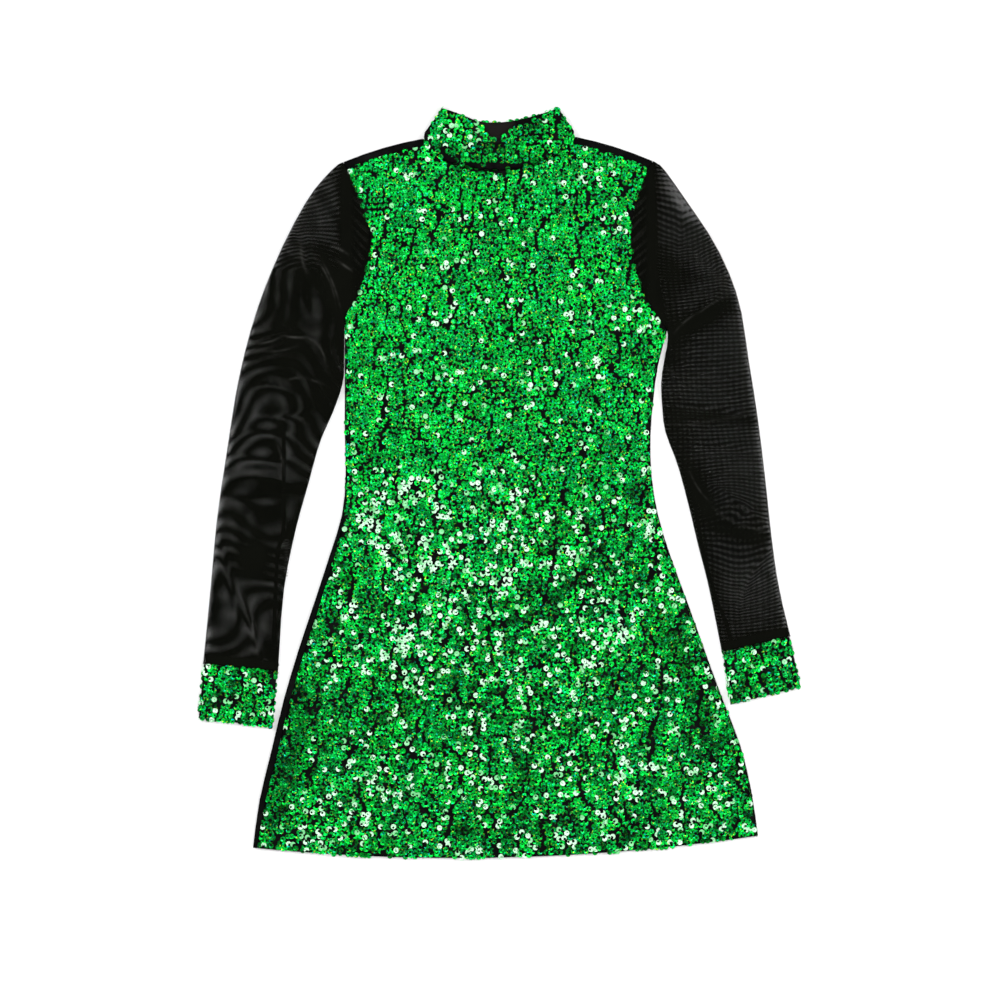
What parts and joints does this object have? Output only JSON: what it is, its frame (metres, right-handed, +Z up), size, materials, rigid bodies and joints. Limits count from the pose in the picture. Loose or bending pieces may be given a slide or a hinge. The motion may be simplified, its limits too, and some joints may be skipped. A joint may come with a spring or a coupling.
{
  "type": "sequin mini dress laid flat",
  "caption": "Long-sleeved sequin mini dress with a mock neck, sheer mesh sleeves and sequin cuffs, lying flat on its back.",
  "frame": {"origin": "middle of the dress on the surface that it lies on, at the centre of its outline", "axes": "+X to the viewer's right across the dress, +Y along it from the hem to the collar, +Z up from the surface through the front"},
  "size_m": [0.652, 0.8096, 0.0071],
  "materials": {
    "sequin_cloth": "emerald green holographic cup sequins, close together on black stretch knit",
    "black_knit": "matte black stretch jersey",
    "sleeve_mesh": "sheer black power mesh with a soft sheen"
  },
  "bodies": {
    "root": {"front_panel": "sequin_cloth", "back_panel": "black_knit", "collar": "sequin_cloth", "sleeve_left": "sleeve_mesh", "sleeve_right": "sleeve_mesh", "cuff_left": "sequin_cloth", "cuff_right": "sequin_cloth"}
  },
  "joints": []
}
